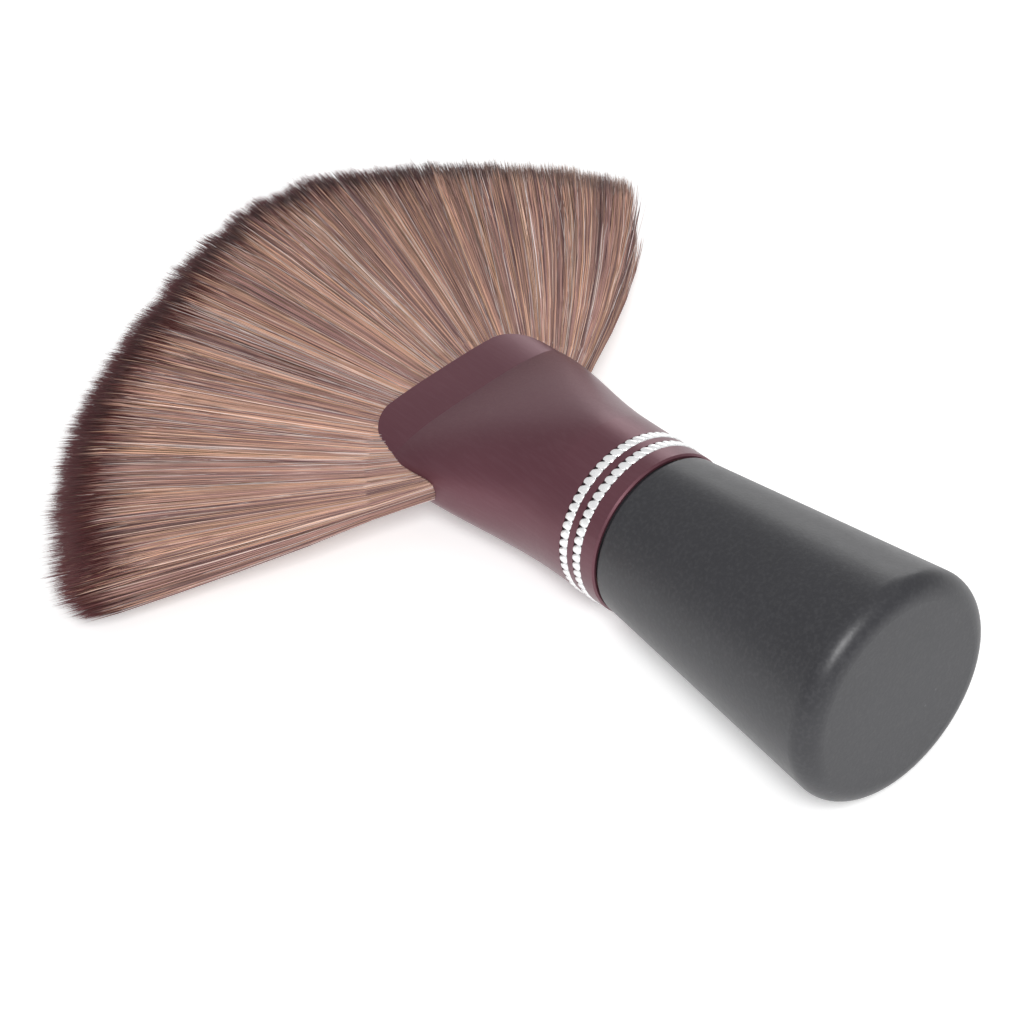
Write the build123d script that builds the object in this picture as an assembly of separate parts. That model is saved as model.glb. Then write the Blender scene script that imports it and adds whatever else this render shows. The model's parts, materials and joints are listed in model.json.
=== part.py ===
from build123d import *
import os
from math import asin, atan2, cos, degrees, exp, hypot, pi, radians, sin, sqrt, tan

# Neck duster brush, lying on a table: a flared handle, a pressed metal ferrule and a fan of hair.
#
# It is drawn in brush coordinates: Y runs along the brush from the handle to the hair, X is the
# width of the fan, Z is its thickness, and Y = 0 is the joint of handle and ferrule. The last
# step tips the brush forward until the handle's rim and the underside of the hair both touch
# the table, and puts the origin at the middle of the base of its bounding box.
# All sizes are in millimetres.

# ---- handle ----
handle_length = 44.0
handle_joint_radius = 11.9
handle_end_radius = 17.0
handle_end_rounding = 3.0
handle_neck_rounding = 0.5
tenon_radius = 11.0
tenon_length = 14.0
tenon_chamfer = 0.6

# ---- ferrule ----
ferrule_radius = 12.1
ferrule_wall = 0.6
ferrule_start = 0.4          # leaves the thin dark gap above the handle's shoulder
ferrule_length = 45.0
ferrule_edge_chamfer = 0.25
press_start = 12.0           # the tube is round up to here
press_end = 37.6             # crease, where the flat lips begin
press_ease = 1.35            # above 1, the press starts gently; the width eases at both ends
mouth_half_width = 15.8
mouth_half_height = 4.2
mouth_squareness = 3.0       # exponent of the mouth's rounded section; 2 is an ellipse
lip_straight_half = 9.5      # half of the straight front edge of each lip
lip_corner_depth = 9.0       # how far the lips' rounded corners run back
side_slot_back = 29.5        # the slots in the side walls, where the outer hair leaves
side_slot_half_height = 1.8

# ---- diamond-cut bands ----
band_width = 1.5
band_depth = 0.15            # how far a band is let into the tube
band_proud = 0.12            # how far its facets stand out
band_centres = {"bright_band_rear": 3.7, "bright_band_front": 6.3}

# ---- glue and plug ----
glue_clearance = 0.02
glue_start = 1.0
root_clearance = 0.05
plug_start = 14.4
plug_end = 20.0

# ---- hair ----
lock_count = 9
fan_centre = 21.0            # the point on the axis that the hair radiates from
fan_left_angle = 65.0        # the hair lies wider and longer on its left than on its right
fan_right_angle = 58.0
fan_gap_angle = 1.3          # angle left free between neighbouring locks
side_radius = 70.6           # how far the tips reach on the left
crown_height = 4.5           # how much further they reach at the crown
crown_angle = 4.0
crown_spread = 14.0
short_start_angle = 12.0     # from here to the right the hair gets shorter
short_span_angle = 45.0
short_by = 13.0
short_ease = 1.3
tips_rounding = 5.0          # depth of the rounded end of the hair, seen from the side
hair_half_thickness_root = 2.6
hair_half_thickness_tips = 6.0
hair_root_radius = 18.0
hair_thickest_radius = 62.0
hinge_beyond_lip = 0.6       # the hair bends just outside the mouth
lock_beyond_hinge = 2.6

fan_step = (fan_left_angle + fan_right_angle) / lock_count
lock_angles = [-fan_left_angle + fan_step * (i + 0.5) for i in range(lock_count)]


def superellipse_wire(half_width, half_height, squareness, y):
    """One smooth closed section of the pressed tube, across the brush at y."""
    points = []
    count = 32
    for i in range(count):
        turn = 2 * pi * i / count
        across, up = cos(turn), sin(turn)
        x = half_width * (abs(across) ** (2 / squareness)) * (1 if across >= 0 else -1)
        z = half_height * (abs(up) ** (2 / squareness)) * (1 if up >= 0 else -1)
        points.append((x, y, z))
    return Wire(Edge.make_spline([Vector(*p) for p in points], periodic=True))


def pressed_body(inset, start, end):
    """The solid inside the ferrule's outer surface, reduced by inset, between two stations."""
    sections = []
    for y in [press_start, 16.0, 20.0, 24.5, 29.0, 33.5, press_end]:
        share = (y - press_start) / (press_end - press_start)
        pressed = share**press_ease
        widened = share**2 * (3 - 2 * share)
        half_width = ferrule_radius + (mouth_half_width - ferrule_radius) * widened
        half_height = ferrule_radius + (mouth_half_height - ferrule_radius) * pressed
        squareness = 2 + (mouth_squareness - 2) * pressed
        sections.append(superellipse_wire(half_width - inset, half_height - inset, squareness, y))
    tube_end = sections[0].moved(Location((0, -press_start - 2, 0)))
    mouth_end = sections[-1].moved(Location((0, ferrule_length + 2 - press_end, 0)))
    body = Solid.make_loft([tube_end, sections[0]], True)
    body += Solid.make_loft(sections)
    body += Solid.make_loft([sections[-1], mouth_end], True)
    keep = Pos(0, (start + end) / 2, 0) * Box(60, end - start, 60)
    return body & keep


def lip_outline(height):
    """A tall prism of the ferrule's outline seen from above, with the lips' rounded corners."""
    side = 25.0
    back = -5.0
    corner_start = ferrule_length - lip_corner_depth
    corner_width = mouth_half_width - lip_straight_half
    right = EllipticalCenterArc(
        (lip_straight_half, corner_start), corner_width, lip_corner_depth, 0, arc_size=90
    )
    left = EllipticalCenterArc(
        (-lip_straight_half, corner_start), corner_width, lip_corner_depth, 90, arc_size=90
    )
    front = Line((lip_straight_half, ferrule_length), (-lip_straight_half, ferrule_length))
    rest = Polyline(
        (-mouth_half_width, corner_start), (-side, corner_start), (-side, back),
        (side, back), (side, corner_start), (mouth_half_width, corner_start),
    )
    outline = make_face(Curve() + [right, front, left, rest])
    return Pos(0, 0, -height / 2) * extrude(outline, height)


def ring(inner_radius, outer_radius, start, end):
    """A plain ring round the brush's axis between two stations."""
    middle = (start + end) / 2
    tube = Cylinder(outer_radius, end - start) - Cylinder(inner_radius, end - start)
    return Pos(0, middle, 0) * Rot(90, 0, 0) * tube


def make_handle():
    half_profile = make_face(
        Polyline(
            (0, tenon_length), (tenon_radius, tenon_length), (tenon_radius, 0),
            (handle_joint_radius, 0), (handle_end_radius, -handle_length), (0, -handle_length),
            close=True,
        )
    )
    corners = half_profile.vertices()
    end_corner = corners.sort_by_distance((handle_end_radius, -handle_length, 0))[0]
    neck_corner = corners.sort_by_distance((handle_joint_radius, 0, 0))[0]
    tenon_corner = corners.sort_by_distance((tenon_radius, tenon_length, 0))[0]
    half_profile = fillet(end_corner, handle_end_rounding)
    neck_corner = half_profile.vertices().sort_by_distance(neck_corner)[0]
    half_profile = fillet(neck_corner, handle_neck_rounding)
    tenon_corner = half_profile.vertices().sort_by_distance(tenon_corner)[0]
    half_profile = chamfer(tenon_corner, tenon_chamfer)
    return revolve(half_profile, Axis.Y)


def make_ferrule():
    outer = pressed_body(0, ferrule_start, ferrule_length)
    inner = pressed_body(ferrule_wall, ferrule_start - 1, ferrule_length + 1)
    shell = (outer - inner) & lip_outline(60)
    slot_length = ferrule_length - side_slot_back + 5
    round_end = Pos(0, side_slot_back + side_slot_half_height, 0) * Rot(0, 90, 0) * Cylinder(
        side_slot_half_height, 60
    )
    straight = Pos(0, side_slot_back + side_slot_half_height + slot_length / 2, 0) * Box(
        60, slot_length, 2 * side_slot_half_height
    )
    shell -= round_end + straight
    bottom_edge = shell.edges().group_by(Axis.Y)[0].sort_by(SortBy.LENGTH)[-1]
    shell = chamfer(bottom_edge, ferrule_edge_chamfer)
    for centre in band_centres.values():
        shell -= ring(
            ferrule_radius - band_depth, ferrule_radius + 1,
            centre - band_width / 2, centre + band_width / 2,
        )
    return shell


def make_band(centre):
    return ring(
        ferrule_radius - band_depth + glue_clearance, ferrule_radius + band_proud,
        centre - band_width / 2 + glue_clearance, centre + band_width / 2 - glue_clearance,
    )


def make_root_bundle():
    inside = pressed_body(ferrule_wall + root_clearance, plug_end + root_clearance, ferrule_length)
    return inside & lip_outline(60)


def lip_radius(angle):
    """Distance from the fan's centre to the edge of the lips, in the direction of angle."""
    turn = radians(abs(angle))
    front = ferrule_length - fan_centre
    back = fan_centre - (ferrule_length - lip_corner_depth)
    if tan(turn) <= lip_straight_half / front:
        return front / cos(turn)
    if tan(turn) >= mouth_half_width / -back:
        return mouth_half_width / sin(turn)
    corner_width = mouth_half_width - lip_straight_half
    a = (sin(turn) / corner_width) ** 2 + (cos(turn) / lip_corner_depth) ** 2
    b = 2 * (back * cos(turn) / lip_corner_depth**2 - lip_straight_half * sin(turn) / corner_width**2)
    c = (lip_straight_half / corner_width) ** 2 + (back / lip_corner_depth) ** 2 - 1
    return (-b + sqrt(b * b - 4 * a * c)) / (2 * a)


def hinge_radius(angle):
    """Distance from the fan's centre to the line that a lock bends about."""
    edges = [angle - fan_step / 2, angle, angle + fan_step / 2]
    return max(lip_radius(edge) for edge in edges) + hinge_beyond_lip


def tip_radius(angle):
    """Distance from the fan's centre to the tips of the hair, in the direction of angle."""
    crown = crown_height * exp(-(((angle - crown_angle) / crown_spread) ** 2))
    beyond = max(angle - short_start_angle, 0) / short_span_angle
    return side_radius + crown - short_by * beyond**short_ease


def hair_half_thickness(radius):
    share = (radius - hair_root_radius) / (hair_thickest_radius - hair_root_radius)
    return hair_half_thickness_root + share * (hair_half_thickness_tips - hair_half_thickness_root)


def make_lock(angle):
    """One lock of hair: a slim sector of the fan with a rounded end, around angle."""
    start = hinge_radius(angle) + lock_beyond_hinge
    end = tip_radius(angle)
    shoulder = end - tips_rounding
    root = hair_half_thickness(start)
    thick = hair_half_thickness_tips
    sides = Polyline(
        (shoulder, 0, -thick), (start, 0, -root), (start, 0, root), (shoulder, 0, thick)
    )
    tips = ThreePointArc((shoulder, 0, thick), (end, 0, 0), (shoulder, 0, -thick))
    profile = make_face(Curve() + [sides, tips])
    span = fan_step - fan_gap_angle
    sector = Rot(0, 0, -span / 2) * revolve(profile, Axis.Z, span)
    return Pos(0, fan_centre, 0) * Rot(0, 0, 90 - angle) * sector


def resting_pose(nodes):
    """Where the brush lies: tipped to touch with the rim and the hair, origin under its middle."""
    rim_centre_y = -handle_length + handle_end_rounding
    rim_centre_z = -rim_centre_radius()
    hair_y = fan_centre + max(tip_radius(angle) for angle in lock_angles) - tips_rounding
    reach = hair_y - rim_centre_y
    drop = -rim_centre_z - hair_half_thickness_tips
    tip_angle = degrees(
        asin(handle_end_rounding / hypot(reach, drop)) + atan2(drop, reach)
    )
    tipped = Rot(-tip_angle, 0, 0)
    box = Compound(children=[tipped * node for node in nodes.values()]).bounding_box()
    return Pos(-box.center().X, -box.center().Y, -box.min.Z) * tipped


def rim_centre_radius():
    """Radius of the circle that the centre of the handle's end rounding runs on."""
    slope = atan2(handle_end_radius - handle_joint_radius, handle_length)
    return (
        handle_end_radius
        - handle_end_rounding * tan(slope)
        - handle_end_rounding / cos(slope)
    )


def make_nodes():
    nodes = {
        "handle": make_handle(),
        "tenon_adhesive": ring(
            tenon_radius + glue_clearance, ferrule_radius - ferrule_wall - glue_clearance,
            glue_start, press_start,
        ),
        "ferrule": make_ferrule(),
        "root_plug": pressed_body(ferrule_wall + root_clearance, plug_start, plug_end),
        "hair_root_bundle": make_root_bundle(),
    }
    for name, centre in band_centres.items():
        nodes[name] = make_band(centre)
    for number, angle in enumerate(lock_angles, start=1):
        nodes[f"hair_lock_{number}"] = make_lock(angle)
    return nodes


nodes = make_nodes()
pose = resting_pose(nodes)
os.makedirs("parts", exist_ok=True)
for name, solid in nodes.items():
    export_step(pose * solid, f"parts/{name}.step")
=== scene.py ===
import json
import math

import bpy
import numpy as np
from mathutils import Matrix, Vector


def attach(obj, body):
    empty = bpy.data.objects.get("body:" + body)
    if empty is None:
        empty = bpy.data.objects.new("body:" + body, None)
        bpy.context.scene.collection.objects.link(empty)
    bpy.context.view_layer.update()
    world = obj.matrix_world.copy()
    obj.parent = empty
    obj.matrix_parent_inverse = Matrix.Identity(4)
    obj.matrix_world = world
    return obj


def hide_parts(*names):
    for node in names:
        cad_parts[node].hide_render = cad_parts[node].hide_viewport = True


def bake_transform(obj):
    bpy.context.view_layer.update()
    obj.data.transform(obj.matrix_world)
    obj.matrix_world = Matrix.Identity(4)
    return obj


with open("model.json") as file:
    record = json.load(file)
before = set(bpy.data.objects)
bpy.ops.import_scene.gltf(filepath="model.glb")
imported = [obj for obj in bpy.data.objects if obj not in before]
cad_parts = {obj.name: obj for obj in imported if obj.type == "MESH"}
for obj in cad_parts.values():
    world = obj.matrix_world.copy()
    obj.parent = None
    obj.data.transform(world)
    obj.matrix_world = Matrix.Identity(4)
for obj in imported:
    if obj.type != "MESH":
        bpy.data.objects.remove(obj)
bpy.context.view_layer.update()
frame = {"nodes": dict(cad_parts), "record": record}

# The looks of a fan-shaped neck duster brush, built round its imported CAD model.
# Shapes are worked out in brush coordinates: millimetres, Y along the brush from the handle to
# the hair, X across the fan, Z through its thickness, and the origin where handle meets ferrule.
# The matrix "brush" carries them to the row frame in metres.

MM = 0.001
HANDLE_LENGTH = 44.0
FERRULE_RADIUS = 12.1

record = frame["record"]
end_mount = next(m for m in record["mounts"] if m["name"] == "handle_end")
along = -Vector(end_mount["axis"]).normalized()
across = Vector((1, 0, 0))
upward = across.cross(along)
handle_joint = Vector(end_mount["pos_m"]) + along * HANDLE_LENGTH * MM
brush = Matrix.Translation(handle_joint) @ Matrix((across, along, upward)).transposed().to_4x4()
brush_array = np.array(brush.to_3x3())


def to_row(points):
    """Brush points in millimetres, as an array whose last side is 3, in the row frame."""
    return (points * MM) @ brush_array.T + np.array(handle_joint)


# ---------------------------------------------------------------- materials


class Finish:
    """A node material with one Principled shader, and short ways to add nodes to it."""

    def __init__(self, name):
        self.material = bpy.data.materials.new(name)
        self.material.use_nodes = True
        self.tree = self.material.node_tree
        self.shader = self.tree.nodes["Principled BSDF"]

    def put(self, socket, value):
        """Sets a socket, or links another node's output to it."""
        if isinstance(value, bpy.types.NodeSocket):
            self.tree.links.new(value, socket)
        else:
            socket.default_value = value

    def node(self, kind, inputs=None, **settings):
        """A new node of a kind, with its settings and its inputs by name or number."""
        made = self.tree.nodes.new("ShaderNode" + kind)
        for key, value in settings.items():
            setattr(made, key, value)
        for key, value in (inputs or {}).items():
            self.put(made.inputs[key], value)
        return made

    def surface(self, **values):
        """Inputs of the Principled shader; an underscore stands for a space."""
        for key, value in values.items():
            self.put(self.shader.inputs[key.replace("_", " ")], value)

    def place(self):
        """Position on the object, in metres."""
        return self.node("TexCoord").outputs["Object"]

    def noise(self, vector, scale, detail=3.0, rough=0.55):
        made = self.node(
            "TexNoise", {"Vector": vector, "Scale": scale, "Detail": detail, "Roughness": rough}
        )
        return made.outputs["Fac"]

    def math(self, operation, *values):
        made = self.node("Math", operation=operation)
        for socket, value in zip(made.inputs, values):
            self.put(socket, value)
        return made.outputs[0]

    def span(self, value, low, high, to_low, to_high, smooth=True):
        """Carries low..high over to to_low..to_high, eased at both ends unless told otherwise."""
        made = self.node(
            "MapRange",
            {0: value, 1: low, 2: high, 3: to_low, 4: to_high},
            interpolation_type="SMOOTHSTEP" if smooth else "LINEAR",
        )
        return made.outputs[0]

    def ramp(self, value, stops):
        """Colour by value, from (position, colour) stops in rising order."""
        made = self.node("ValToRGB", {"Fac": value})
        points = made.color_ramp.elements
        while len(points) < len(stops):
            points.new(0.5)
        for point, (position, colour) in zip(points, stops):
            point.position = position
            point.color = (*colour, 1)
        return made.outputs["Color"]

    def mix(self, share, first, second, blend="MIX"):
        made = self.node("Mix", data_type="RGBA", blend_type=blend)
        for key, value in ((0, share), (6, first), (7, second)):
            if isinstance(value, tuple):
                value = (*value, 1)
            self.put(made.inputs[key], value)
        return made.outputs[2]

    def bump(self, height, depth, strength=1.0, under=None):
        inputs = {"Height": height, "Distance": depth, "Strength": strength}
        if under is not None:
            inputs["Normal"] = under
        return self.node("Bump", inputs).outputs["Normal"]


def handle_finish():
    """Soft-touch black coating: a dark matt film with a fine grain and a few pale specks."""
    f = Finish("soft_touch_black")
    place = f.place()
    cloud = f.noise(place, 45.0, 4.0)
    grain = f.noise(place, 1900.0, 2.0)
    coarse = f.noise(place, 700.0, 3.0)
    colour = f.ramp(cloud, [(0.3, (0.029, 0.029, 0.033)), (0.7, (0.035, 0.035, 0.040))])
    speck = f.node("TexVoronoi", {"Vector": place, "Scale": 420.0, "Randomness": 1.0})
    dust = f.span(speck.outputs["Distance"], 0.05, 0.09, 1.0, 0.0)
    chosen = f.span(speck.outputs["Color"], 0.78, 0.82, 0.0, 0.35)
    colour = f.mix(f.math("MULTIPLY", dust, chosen), colour, (0.16, 0.16, 0.17))
    colour = f.mix(f.span(grain, 0.4, 0.75, 0.0, 0.5), colour, (0.056, 0.056, 0.061))
    rough = f.math("ADD", f.span(coarse, 0.3, 0.7, 0.36, 0.39), f.span(grain, 0.3, 0.7, 0.0, 0.04))
    f.surface(Base_Color=colour, Roughness=rough, Normal=f.bump(grain, 0.00003, 0.6))
    f.surface(Specular_IOR_Level=0.45)
    return f.material


def ferrule_finish():
    """Satin burgundy anodising: tinted metal under a soft clear film, with faint drawing lines."""
    f = Finish("burgundy_anodising")
    place = f.place()
    cloud = f.noise(place, 60.0, 4.0)
    fine = f.noise(place, 3200.0, 2.0)
    stretched = f.node("Mapping", {"Vector": place, "Scale": (1.0, 0.06, 1.0)}).outputs[0]
    lines = f.noise(stretched, 2400.0, 2.0)
    colour = f.ramp(cloud, [(0.3, (0.130, 0.044, 0.060)), (0.7, (0.146, 0.052, 0.069))])
    colour = f.mix(f.span(lines, 0.4, 0.7, 0.0, 0.2), colour, (0.180, 0.080, 0.100))
    rough = f.math("ADD", f.span(cloud, 0.3, 0.7, 0.36, 0.41), f.span(fine, 0.3, 0.7, 0.0, 0.05))
    normal = f.bump(fine, 0.00001, 0.35)
    f.surface(Base_Color=colour, Roughness=rough, Normal=f.bump(lines, 0.00001, 0.2, normal))
    f.surface(Metallic=0.5, Coat_Weight=0.2, Coat_Roughness=0.32)
    return f.material


def bright_cut_finish():
    """Bare aluminium cut with a diamond tool: bright, with fine cutter marks and a little haze."""
    f = Finish("diamond_cut_aluminium")
    place = f.place()
    marks = f.noise(place, 4200.0, 2.0)
    cloud = f.noise(place, 900.0, 2.0)
    colour = f.ramp(marks, [(0.3, (0.88, 0.89, 0.90)), (0.7, (0.97, 0.97, 0.97))])
    rough = f.span(cloud, 0.3, 0.7, 0.16, 0.28)
    f.surface(Base_Color=colour, Roughness=rough, Normal=f.bump(marks, 0.00001, 0.3))
    f.surface(Metallic=0.4)
    return f.material


def painted_shade_notch_finish():
    """Painted shade: the floor of the cuts between the bright facets, coloured near black to stand
    for the shade that falls in them.
    """
    f = Finish("cut_notch_painted_shade")
    place = f.place()
    cloud = f.noise(place, 2500.0, 2.0)
    colour = f.ramp(cloud, [(0.3, (0.015, 0.010, 0.012)), (0.7, (0.05, 0.03, 0.035))])
    f.surface(Base_Color=colour, Roughness=f.span(cloud, 0.3, 0.7, 0.45, 0.6), Metallic=0.6)
    return f.material


def resin_finish(name, dark, light, rough):
    """Cast resin: clouded, with small bubbles that dimple its surface."""
    f = Finish(name)
    place = f.place()
    cloud = f.noise(place, 220.0, 4.0)
    bubbles = f.node("TexVoronoi", {"Vector": place, "Scale": 900.0}).outputs["Distance"]
    dimple = f.span(bubbles, 0.08, 0.2, 0.0, 1.0)
    colour = f.mix(dimple, light, f.ramp(cloud, [(0.3, dark), (0.7, light)]))
    f.surface(Base_Color=colour, Roughness=f.span(cloud, 0.3, 0.7, rough, rough + 0.15))
    f.surface(Normal=f.bump(dimple, 0.0001, 0.4))
    return f.material


VARIANTS = 256          # how many different filaments the hair's material holds
LENGTH_SPAN = 70.0      # millimetres of filament that its V coordinate spans


def hair_finish():
    """Filament colours. U picks the variant; V is 1 at the tip and falls towards the root."""
    f = Finish("duster_hair")
    split = f.node("SeparateXYZ", {0: f.node("UVMap", uv_map="OFBake").outputs[0]})
    variant = f.math("FLOOR", f.math("MULTIPLY", split.outputs[0], float(VARIANTS)))
    shade = f.math("DIVIDE", variant, float(VARIANTS))
    from_tip = f.math("MULTIPLY", f.math("SUBTRACT", 1.0, split.outputs[1]), LENGTH_SPAN)
    first = f.node("TexWhiteNoise", {"W": variant}, noise_dimensions="1D").outputs[0]
    second = f.node(
        "TexWhiteNoise", {"W": f.math("ADD", variant, 731.0)}, noise_dimensions="1D"
    ).outputs[0]
    apart = f.math("MULTIPLY", variant, 3.7)
    lengthwise = f.math("MULTIPLY", from_tip, 0.16)
    drift = f.noise(f.node("CombineXYZ", {0: apart, 1: lengthwise}).outputs[0], 1.0, 2.0)
    colour = f.ramp(shade, [
        (0.00, (0.170, 0.088, 0.090)),
        (0.20, (0.330, 0.190, 0.185)),
        (0.38, (0.480, 0.275, 0.235)),
        (0.54, (0.600, 0.355, 0.270)),
        (0.70, (0.650, 0.395, 0.265)),
        (0.84, (0.720, 0.510, 0.420)),
        (1.00, (0.860, 0.750, 0.730)),
    ])
    own_light = f.span(first, 0.0, 1.0, 0.56, 1.36, False)
    light = f.math("ADD", own_light, f.span(drift, 0.3, 0.7, -0.12, 0.12))
    # Painted shade: filaments are darkened towards the lips, where the ferrule's mouth shades them.
    light = f.math("MULTIPLY", light, f.span(from_tip, 38.0, 58.0, 1.0, 0.78))
    grey = f.node("CombineColor", {0: light, 1: light, 2: light}).outputs[0]
    colour = f.mix(1.0, colour, grey, "MULTIPLY")
    dark = f.mix(first, (0.088, 0.021, 0.021), (0.180, 0.062, 0.056))
    tip = f.mix(second, (0.210, 0.042, 0.050), (0.340, 0.105, 0.110))
    own_shift = f.span(second, 0.0, 1.0, -2.2, 3.4, False)
    shift = f.math("ADD", own_shift, f.span(drift, 0.3, 0.7, -0.8, 0.8))
    depth = f.math("ADD", from_tip, shift)
    tip_depth = f.math("ADD", from_tip, f.math("MULTIPLY", shift, 0.3))
    dyed = f.span(first, 0.88, 0.94, 1.0, 0.45)
    colour = f.mix(f.math("MULTIPLY", dyed, f.span(depth, 4.4, 8.6, 1.0, 0.0)), colour, dark)
    colour = f.mix(f.span(tip_depth, 1.6, 3.2, 0.85, 0.0), colour, tip)
    f.surface(Base_Color=colour, Roughness=f.span(first, 0.0, 1.0, 0.42, 0.62, False))
    f.surface(Specular_IOR_Level=0.25, Sheen_Weight=0.05, Sheen_Roughness=0.4)
    return f.material


# ---------------------------------------------------------------- meshes


def mesh_object(name, points, faces, smooth=True):
    """A mesh object from an (n, 3) array of row-frame points and a list of face arrays."""
    mesh = bpy.data.meshes.new(name)
    mesh.vertices.add(len(points))
    mesh.vertices.foreach_set("co", points.astype(np.float32).ravel())
    corners = np.concatenate([f.ravel() for f in faces])
    counts = np.concatenate([np.full(len(f), f.shape[1]) for f in faces])
    mesh.loops.add(len(corners))
    mesh.loops.foreach_set("vertex_index", corners.astype(np.int32))
    mesh.polygons.add(len(counts))
    starts = np.concatenate([[0], np.cumsum(counts)[:-1]])
    mesh.polygons.foreach_set("loop_start", starts.astype(np.int32))
    mesh.polygons.foreach_set("loop_total", counts.astype(np.int32))
    mesh.update(calc_edges=True)
    mesh.polygons.foreach_set("use_smooth", np.full(len(counts), smooth))
    made = bpy.data.objects.new(name, mesh)
    bpy.context.scene.collection.objects.link(made)
    return made


# ---- diamond-cut bands ----
BAND_CENTRES = {"bright_band_rear": 3.7, "bright_band_front": 6.3}
BAND_TURNS = {"bright_band_rear": 0.0, "bright_band_front": 0.03}
BEADS = 56
BAND_HALF_WIDTH = 0.80
BAND_FLOOR = FERRULE_RADIUS - 0.13
BAND_THICKNESS = 0.01
FACET_SLANT = 0.30           # how far a facet leans round the ring, per millimetre of width
FACET_HALF_WIDTH = 0.79      # half axes of a facet's outline, across the band and round it
FACET_HALF_LENGTH = 0.745
FACET_STEP = 0.10            # a facet stands this far above the cut floor at its edge
FACET_CROWN = 0.26 * 0.55    # and rises this much more in its middle
FACET_TILT = 0.10
CUT_HALF = 0.02              # half the cut between two facets at the band's rear
CUT_FLARE = 0.24             # how much wider it gets towards the front
CUT_SLOPE = 0.06
NOTCH_LEVEL = 0.035          # faces lower than this belong to the floor of a cut, which is coloured as painted shade
ROUND_STEPS = BEADS * 18
WIDTH_STEPS = 22


def band_mesh(name, centre, phase, materials):
    """A ring of overlapping rounded facets with a small cut between each pair."""
    pitch = 2 * math.pi * FERRULE_RADIUS / BEADS
    turn = np.linspace(0, 2 * math.pi, ROUND_STEPS, endpoint=False)
    width = np.linspace(-BAND_HALF_WIDTH, BAND_HALF_WIDTH, WIDTH_STEPS)
    round_mm = (turn[:, None] + phase) * FERRULE_RADIUS
    width_mm = width[None, :] + 0 * round_mm
    round_mm = round_mm + FACET_SLANT * width_mm
    within = (round_mm / pitch) % 1.0 - 0.5
    round_off = within * pitch
    inside = 1 - (width_mm / FACET_HALF_WIDTH) ** 2 - (round_off / FACET_HALF_LENGTH) ** 2
    facet = np.sqrt(np.clip(inside, 0, None))
    cut_half = CUT_HALF + CUT_FLARE * np.clip((width_mm + 0.05) / 0.6, 0, 1)
    from_cut = np.minimum(np.abs(round_off - pitch / 2), np.abs(round_off + pitch / 2))
    cut = np.clip((cut_half - from_cut) / CUT_SLOPE + 0.5, 0, 1)
    tilt = FACET_TILT * (round_off / pitch + 0.5)
    height = np.where(facet > 0.02, FACET_STEP + FACET_CROWN * facet + tilt * facet, 0.0)
    height *= 1 - cut
    radius = BAND_FLOOR + height
    columns = np.stack([
        radius * np.sin(turn)[:, None],
        centre + width_mm,
        radius * np.cos(turn)[:, None],
    ], axis=-1)
    inner_radius = BAND_FLOOR - BAND_THICKNESS
    inner = np.stack([
        inner_radius * np.sin(turn)[:, None] + 0 * width_mm,
        centre + width_mm,
        inner_radius * np.cos(turn)[:, None] + 0 * width_mm,
    ], axis=-1)[:, [0, -1]]
    grid = np.arange(ROUND_STEPS * WIDTH_STEPS).reshape(ROUND_STEPS, WIDTH_STEPS)
    rim = grid.size + np.arange(ROUND_STEPS * 2).reshape(ROUND_STEPS, 2)
    after = np.roll(grid, -1, axis=0)
    rim_after = np.roll(rim, -1, axis=0)
    top = np.stack([grid[:, :-1], grid[:, 1:], after[:, 1:], after[:, :-1]], -1).reshape(-1, 4)
    back = np.stack([rim[:, 0], grid[:, 0], after[:, 0], rim_after[:, 0]], -1)
    front = np.stack([grid[:, -1], rim[:, 1], rim_after[:, 1], after[:, -1]], -1)
    under = np.stack([rim[:, 1], rim[:, 0], rim_after[:, 0], rim_after[:, 1]], -1)
    faces = np.concatenate([top, back, front, under])[:, ::-1]
    points = np.concatenate([columns.reshape(-1, 3), inner.reshape(-1, 3)])
    made = mesh_object(name, to_row(points), [faces])
    for material in materials:
        made.data.materials.append(material)
    heights = np.concatenate([height.reshape(-1), np.zeros(ROUND_STEPS * 2)])
    # Faces in the floor of a cut take the second finish, the painted shade of the notches.
    low = heights[faces].mean(axis=1) < NOTCH_LEVEL
    made.data.polygons.foreach_set("material_index", low.astype(np.int32))
    return made


# ---- hair ----
# Angles are in degrees from the brush's axis, positive to the right, about the fan's centre.
FAN_CENTRE = 21.0
FAN_LEFT = 65.0
FAN_RIGHT = 58.0
CURL = 5.0                   # the right edge of the hair curls back towards the crown by this
CURL_FROM = 25.0
LOCKS = 9
FAN_STEP = (FAN_LEFT + FAN_RIGHT) / LOCKS
SIDE_RADIUS = 70.6           # how far the tips reach at the left
CROWN_HEIGHT = 6.4           # how much further they reach at the crown
CROWN_ANGLE = 8.0
CROWN_SPREAD_LEFT = 19.0
CROWN_SPREAD_RIGHT = 15.0
SHORT_BY = 10.0              # how much shorter the hair is at its right edge
SHORT_FROM = 12.0
SHORT_SPAN = 45.0
TIPS_DOME = 3.2              # how much shorter the top and bottom layers are than the middle
HALF_AT_LIPS = 2.9           # half the hair's thickness at the lips, in the middle of the fan
THINNER_AT_SLOTS = 1.6       # and how much less it is in the slots at the sides
HALF_AT_TIPS = 5.9
SIDE_ROUNDING = 6.5          # angle over which the hair thins towards either side
STRAND_SIDES = 3
RING_SHARES = np.array([0.0, 0.13, 0.28, 0.45, 0.62, 0.78, 0.91])
STRANDS = 4950
CLUMPS = 230
FIBRE_RADIUS = 0.070


def smooth(value, low, high):
    """Rises from 0 at low to 1 at high, eased at both ends."""
    t = np.clip((value - low) / (high - low), 0, 1)
    return t * t * (3 - 2 * t)


def trimmed(angle):
    """How much shorter the hair is on its right, in millimetres."""
    return SHORT_BY * (np.clip(angle - SHORT_FROM, 0, None) / SHORT_SPAN) ** 1.3


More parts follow.
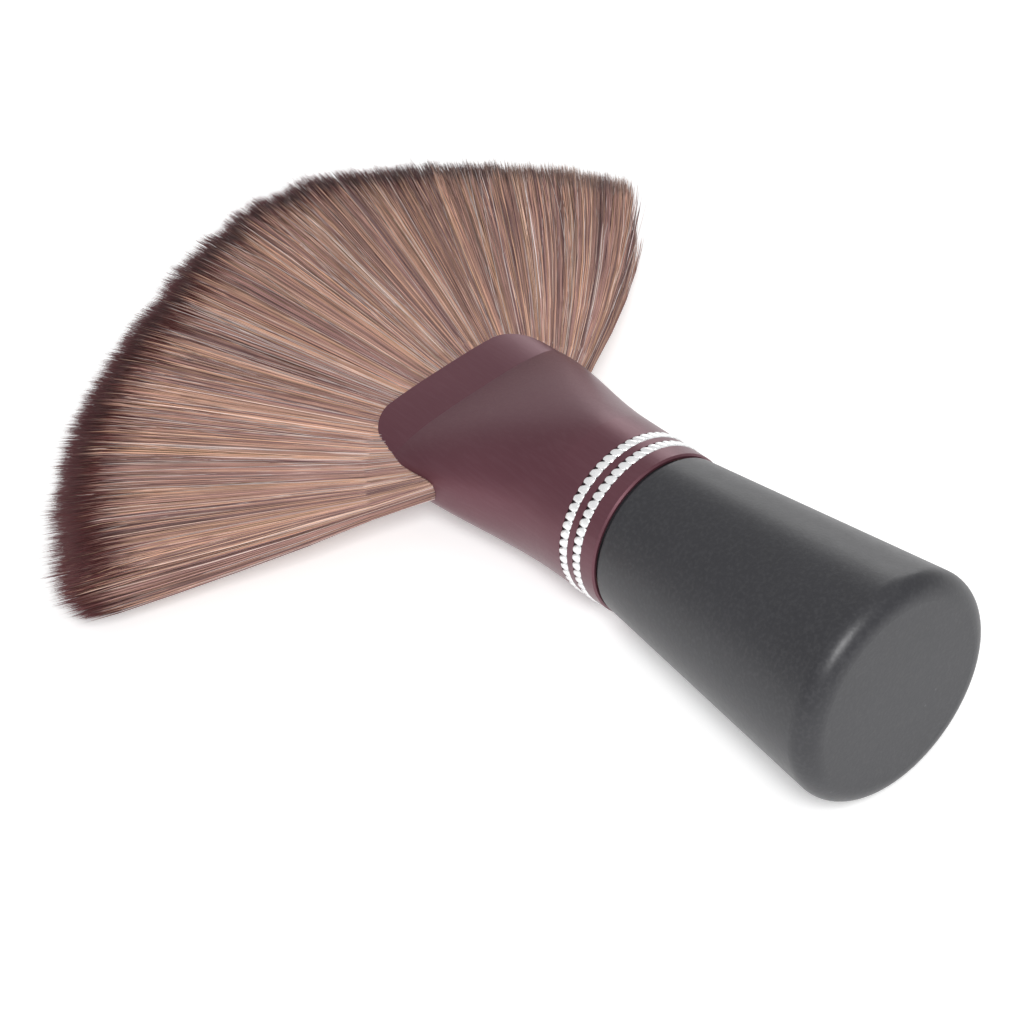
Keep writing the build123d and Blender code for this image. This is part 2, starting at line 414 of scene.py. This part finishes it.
def tip_radius(angle):
    """Distance of the tips from the fan's centre."""
    spread = np.where(angle < CROWN_ANGLE, CROWN_SPREAD_LEFT, CROWN_SPREAD_RIGHT)
    crown = CROWN_HEIGHT * np.exp(-(((angle - CROWN_ANGLE) / spread) ** 2))
    return SIDE_RADIUS + crown - trimmed(angle)


def half_thickness(radius, angle):
    """Half the hair's thickness: pinched by the lips, fuller towards the tips, thin at its sides."""
    at_lips = HALF_AT_LIPS - THINNER_AT_SLOTS * smooth(np.abs(angle), 25.0, 55.0)
    grown = np.clip((radius - 25.0) / 36.0, 0, 1)
    full = at_lips + (HALF_AT_TIPS - at_lips) * grown**0.9
    past = np.where(angle < 0, -angle - (FAN_LEFT - 6.0), angle - (FAN_RIGHT - 6.0))
    edge = past / SIDE_ROUNDING
    return full * (0.45 + 0.55 * np.sqrt(1 - np.clip(edge, 0, 0.97) ** 2))


def above_table(centres):
    """Heights of filament centres, with those that would pass through the table laid on it."""
    table = (FIBRE_RADIUS - handle_joint.z / MM - along.z * centres[..., 1]) / upward.z
    return np.maximum(centres[..., 2], table)


def strand_mesh(name, centres, radii, shades, tip_distance, material, rng):
    """Tapered three-sided filaments along rows of centres; the last centre is the pointed tip."""
    count, rings = centres.shape[0], centres.shape[1] - 1
    direction = np.diff(centres, axis=1)
    direction /= np.linalg.norm(direction, axis=2, keepdims=True)
    side = np.cross(direction, np.array([0.0, 0.0, 1.0]))
    side /= np.linalg.norm(side, axis=2, keepdims=True)
    over = np.cross(side, direction)
    twist = rng.uniform(0, 2 * math.pi, (count, 1, 1, 1))
    turn = twist + np.arange(STRAND_SIDES)[None, None, :, None] * 2 * math.pi / STRAND_SIDES
    ring = np.cos(turn) * side[:, :, None] + np.sin(turn) * over[:, :, None]
    tube = centres[:, :-1, None] + radii[:, :, None, None] * ring
    per_strand = rings * STRAND_SIDES + 1
    points = np.concatenate([tube.reshape(count, -1, 3), centres[:, -1:]], axis=1)
    first = (np.arange(count) * per_strand)[:, None, None]
    here = np.arange(rings - 1)[None, :, None] * STRAND_SIDES
    corner = np.arange(STRAND_SIDES)[None, None, :]
    following = (corner + 1) % STRAND_SIDES
    quads = np.stack([
        first + here + corner,
        first + here + STRAND_SIDES + corner,
        first + here + STRAND_SIDES + following,
        first + here + following,
    ], axis=-1).reshape(-1, 4)
    last = first[:, :, 0] + (rings - 1) * STRAND_SIDES
    tip = first[:, :, 0] + per_strand - 1
    ends = np.stack([
        last + corner[0], tip + 0 * corner[0], last + following[0]
    ], axis=-1).reshape(-1, 3)
    roots = np.stack([first[:, 0, 0], first[:, 0, 0] + 1, first[:, 0, 0] + 2], axis=-1)
    made = mesh_object(name, to_row(points.reshape(-1, 3)), [quads, ends, roots])

    span = 0.7 / VARIANTS
    step = span / STRAND_SIDES
    left = shades[:, None, None] - span / 2 + step * corner
    height = 1 - tip_distance / LENGTH_SPAN
    low, high = height[:, :-2, None] + 0 * left, height[:, 1:-1, None] + 0 * left
    left = left + 0 * low
    quad_uv = np.stack([
        np.stack([left, low], -1), np.stack([left, high], -1),
        np.stack([left + step, high], -1), np.stack([left + step, low], -1),
    ], axis=-2)
    end_left = (shades[:, None] - span / 2 + step * corner[0])
    end_low = height[:, -2, None] + 0 * end_left
    end_high = height[:, -1, None] + 0 * end_left
    end_uv = np.stack([
        np.stack([end_left, end_low], -1), np.stack([end_left + step / 2, end_high], -1),
        np.stack([end_left + step, end_low], -1),
    ], axis=-2)
    root_v = height[:, 0]
    root_uv = np.stack([
        np.stack([shades - span / 2, root_v], -1), np.stack([shades, root_v + 0.003], -1),
        np.stack([shades + span / 2, root_v], -1),
    ], axis=-2)
    uv = np.concatenate([quad_uv.reshape(-1), end_uv.reshape(-1), root_uv.reshape(-1)])
    layer = made.data.uv_layers.new(name="OFBake")
    layer.data.foreach_set("uv", uv.astype(np.float32))
    made.data.materials.append(material)
    return made


def streaks(angle, layer):
    """Slow colour change across the fan: the same for neighbouring filaments, from -1 to 1."""
    wave = (
        0.34 * np.sin(angle * 0.61 + 1.3 + 2.1 * layer)
        + 0.30 * np.sin(angle * 1.43 + 4.2 - 1.7 * layer)
        + 0.26 * np.sin(angle * 3.10 + 0.4 + 3.3 * layer)
        + 0.22 * np.sin(angle * 6.70 + 2.6 - 4.1 * layer)
    )
    return np.clip(wave, -1, 1)


def lock_piece(number, material):
    """The filaments of one lock, from inside the mouth to their tips."""
    rng = np.random.default_rng(4100 + number)
    low = -FAN_LEFT + FAN_STEP * (number - 1)
    angle = rng.uniform(low, low + FAN_STEP, STRANDS)
    inner = rng.uniform(-1, 1, STRANDS)
    outer = rng.choice([-1, 1], STRANDS) * (1 - 0.32 * rng.uniform(0, 1, STRANDS) ** 1.5)
    layer = np.where(rng.uniform(0, 1, STRANDS) < 0.55, outer, inner)

    clump_angle = rng.uniform(low, low + FAN_STEP, CLUMPS)
    clump_layer = rng.uniform(-1, 1, CLUMPS)
    near = ((angle[:, None] - clump_angle) * 1.1) ** 2 + ((layer[:, None] - clump_layer) * 5.5) ** 2
    clump = near.argmin(axis=1)
    pull = rng.uniform(0.25, 0.75, CLUMPS)[clump]

    stray = rng.uniform(0, 1, STRANDS) < 0.004
    drift = rng.normal(0, 0.55, STRANDS)
    drift += stray * rng.choice([-1, 1], STRANDS) * rng.uniform(2, 5, STRANDS)
    layer = np.where(stray, np.sign(layer) * 1.02, layer)
    bend = rng.normal(0, 0.35, STRANDS)
    lift = rng.normal(0, 0.06, STRANDS)

    end = tip_radius(angle) - TIPS_DOME * layer**2
    end = end + rng.normal(0, 0.45, STRANDS) + rng.normal(0, 0.55, CLUMPS)[clump]
    start = rng.uniform(8.5, 11.0, STRANDS)
    share = np.append(RING_SHARES, 1.0)[None, :]
    radius = start[:, None] + share * (end - start)[:, None]
    gather = (pull[:, None] * share**2.5) * np.where(stray, 0, 1)[:, None]
    turned = angle[:, None] + (clump_angle[clump] - angle)[:, None] * gather
    turned = turned + drift[:, None] * share + bend[:, None] * np.sin(math.pi * share)
    turned = turned * (1 - 0.085 * np.exp(-(radius - 18.0) / 11.0))
    turned = turned - CURL * smooth(angle, CURL_FROM, FAN_RIGHT)[:, None] * share**1.7
    depth = layer[:, None] + (clump_layer[clump] - layer)[:, None] * gather + lift[:, None] * share
    thick = half_thickness(radius, turned)
    centres = np.stack([
        radius * np.sin(np.radians(turned)),
        FAN_CENTRE + radius * np.cos(np.radians(turned)),
        depth * thick,
    ], axis=-1)
    centres[..., 2] = above_table(centres)

    girth = FIBRE_RADIUS * rng.uniform(0.8, 1.25, STRANDS)
    taper = np.interp(share[:, :-1], [0, 0.2, 0.8, 0.91], [0.6, 0.9, 1.0, 0.75])
    girth = np.where(stray, 0.7 * FIBRE_RADIUS, girth)
    radii = girth[:, None] * taper

    tone = 0.45 + 0.28 * streaks(angle, layer) + rng.normal(0, 0.16, STRANDS)
    tone = np.where(rng.uniform(0, 1, STRANDS) < 0.05, rng.uniform(0.85, 1, STRANDS), tone)
    tone = np.where(stray, 0.97, tone)
    shade = (np.floor(np.clip(tone, 0.0, 0.999) * VARIANTS) + 0.5) / VARIANTS
    length = end - start
    tip_distance = (1 - share) * length[:, None] + 1.1 * trimmed(angle)[:, None]
    piece = strand_mesh(f"hair_{number}", centres, radii, shade, tip_distance, material, rng)

    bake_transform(piece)
    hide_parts(f"hair_lock_{number}")


# The root bundle follows the inside of the ferrule as it is pressed from a tube to a flat mouth.
ROOT_STRANDS = 1500
ROOT_START = 20.2
ROOT_FROM_TIP = 50.0
PRESS_START = 12.0
PRESS_LENGTH = 25.6
PRESS_EASE = 1.35
MOUTH_WIDER_BY = 3.7
MOUTH_LOWER_BY = 7.9
WALL_AND_GAP = 0.95


def root_piece(material):
    """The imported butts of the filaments, from the resin plug to where the fan begins to spread."""
    rng = np.random.default_rng(77)
    turn = rng.uniform(0, 2 * math.pi, ROOT_STRANDS)
    out = np.sqrt(rng.uniform(0, 1, ROOT_STRANDS))
    share = np.array([0.0, 0.35, 0.7, 1.0])[None, :]
    end = rng.uniform(32.0, 37.0, ROOT_STRANDS)
    y = ROOT_START + share * (end - ROOT_START)[:, None]
    pressed = np.clip((y - PRESS_START) / PRESS_LENGTH, 0, 1) ** PRESS_EASE
    wide = FERRULE_RADIUS + MOUTH_WIDER_BY * pressed - WALL_AND_GAP
    high = FERRULE_RADIUS - MOUTH_LOWER_BY * pressed - WALL_AND_GAP
    centres = np.stack([
        wide * (out * np.cos(turn))[:, None],
        y,
        high * (out * np.sin(turn))[:, None],
    ], axis=-1)
    radii = np.full((ROOT_STRANDS, 3), FIBRE_RADIUS) * rng.uniform(0.8, 1.3, (ROOT_STRANDS, 1))
    tone = np.clip(rng.normal(0.4, 0.15, ROOT_STRANDS), 0, 0.999)
    shade = (np.floor(tone * VARIANTS) + 0.5) / VARIANTS
    tip_distance = ROOT_FROM_TIP + (1 - share) * (end - ROOT_START)[:, None]
    piece = strand_mesh("hair_roots", centres, radii, shade, tip_distance, material, rng)
    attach(piece, "grip")
    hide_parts("hair_root_bundle")


# ---------------------------------------------------------------- the object


def dress(node, material):
    """Gives a carried-over CAD node its finish."""
    slots = frame["nodes"][node].data.materials
    slots.clear()
    slots.append(material)


dress("handle", handle_finish())
dress("ferrule", ferrule_finish())
dress("tenon_adhesive", resin_finish("cured_glue", (0.50, 0.42, 0.26), (0.72, 0.64, 0.46), 0.30))
dress("root_plug", resin_finish("amber_resin", (0.28, 0.15, 0.05), (0.46, 0.28, 0.10), 0.22))

# The second finish is painted shade for the floors of the cuts between the facets.
band_materials = [bright_cut_finish(), painted_shade_notch_finish()]
for node, centre in BAND_CENTRES.items():
    band = band_mesh(node.replace("bright", "cut"), centre, BAND_TURNS[node], band_materials)
    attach(band, "grip")
    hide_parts(node)

hair_material = hair_finish()
for number in range(1, LOCKS + 1):
    lock_piece(number, hair_material)
root_piece(hair_material)

# ---------------------------------------------------------------- floor, light, camera

FLOOR_HALF = 6.0
FLOOR_GLOW = 0.32
SKY_STRENGTH = 0.62
SKY_STOPS = ((0.05, 1.0), (0.9, 0.42), (0.42, 0.5))    # (height on the dome, brightness)

# The camera's place in brush millimetres, its line of sight and its right-hand side.
CAMERA_AT = (-218.9, -269.6, 319.3)
CAMERA_LOOKS = (0.4362, 0.6031, -0.6678)
CAMERA_RIGHT = (0.7464, -0.6570, -0.1059)
LENS = 124.0
SENSOR = 36.0


def area_light(name, place, aim, size, power):
    """A white rectangular lamp at a place, turned to its aim; metres and watts."""
    data = bpy.data.lights.new(name, "AREA")
    data.shape = "RECTANGLE"
    data.size, data.size_y = size
    data.energy = power
    made = bpy.data.objects.new(name, data)
    made.location = place
    made.rotation_mode = "QUATERNION"
    made.rotation_quaternion = (Vector(aim) - Vector(place)).to_track_quat("-Z", "Y")
    bpy.context.scene.collection.objects.link(made)


def make_floor():
    """A wide white table top that glows a little, so that the brush throws only faint shadows."""
    half = FLOOR_HALF
    corners = np.array([(-half, -half, 0), (half, -half, 0), (half, half, 0), (-half, half, 0)])
    floor = mesh_object("floor", corners, [np.array([[0, 1, 2, 3]])], smooth=False)
    f = Finish("white_table")
    cloud = f.noise(f.place(), 3.0, 2.0)
    f.surface(
        Base_Color=f.ramp(cloud, [(0.3, (0.90, 0.90, 0.90)), (0.7, (0.93, 0.93, 0.93))]),
        Roughness=0.9, Specular_IOR_Level=0.1, Emission_Color=(1, 1, 1, 1),
        Emission_Strength=FLOOR_GLOW,
    )
    floor.data.materials.append(f.material)


def make_sky():
    """An even white dome, brighter near the horizon than overhead."""
    world = bpy.data.worlds.new("studio")
    bpy.context.scene.world = world
    world.use_nodes = True
    tree = world.node_tree
    height = tree.nodes.new("ShaderNodeSeparateXYZ")
    tree.links.new(tree.nodes.new("ShaderNodeTexCoord").outputs["Generated"], height.inputs[0])
    dome = tree.nodes.new("ShaderNodeValToRGB")
    stops = dome.color_ramp.elements
    for stop, (position, light) in zip((stops[0], stops[1], stops.new(0.5)), SKY_STOPS):
        stop.position = position
        stop.color = (light, light, light, 1)
    tree.links.new(height.outputs[2], dome.inputs[0])
    tree.links.new(dome.outputs[0], tree.nodes["Background"].inputs["Color"])
    tree.nodes["Background"].inputs["Strength"].default_value = SKY_STRENGTH


def make_camera():
    """A long lens above the handle's left, looking over the brush towards the hair."""
    data = bpy.data.cameras.new("camera")
    data.lens = LENS
    data.sensor_width = SENSOR
    data.clip_start = 0.01
    camera = bpy.data.objects.new("camera", data)
    bpy.context.scene.collection.objects.link(camera)
    looks = (brush.to_3x3() @ Vector(CAMERA_LOOKS)).normalized()
    right = brush.to_3x3() @ Vector(CAMERA_RIGHT)
    right = (right - looks * right.dot(looks)).normalized()
    turned = Matrix((right, right.cross(looks), -looks)).transposed().to_4x4()
    camera.matrix_world = Matrix.Translation(brush @ (Vector(CAMERA_AT) * MM)) @ turned
    bpy.context.scene.camera = camera


make_floor()
make_sky()
area_light("key", (-0.42, -0.62, 0.95), (0, 0, 0.02), (0.35, 0.35), 9.5)
area_light("side", (0.85, 0.55, 0.30), (0, -0.02, 0.02), (0.5, 0.4), 1.6)
make_camera()
bpy.context.scene.view_settings.view_transform = "Standard"
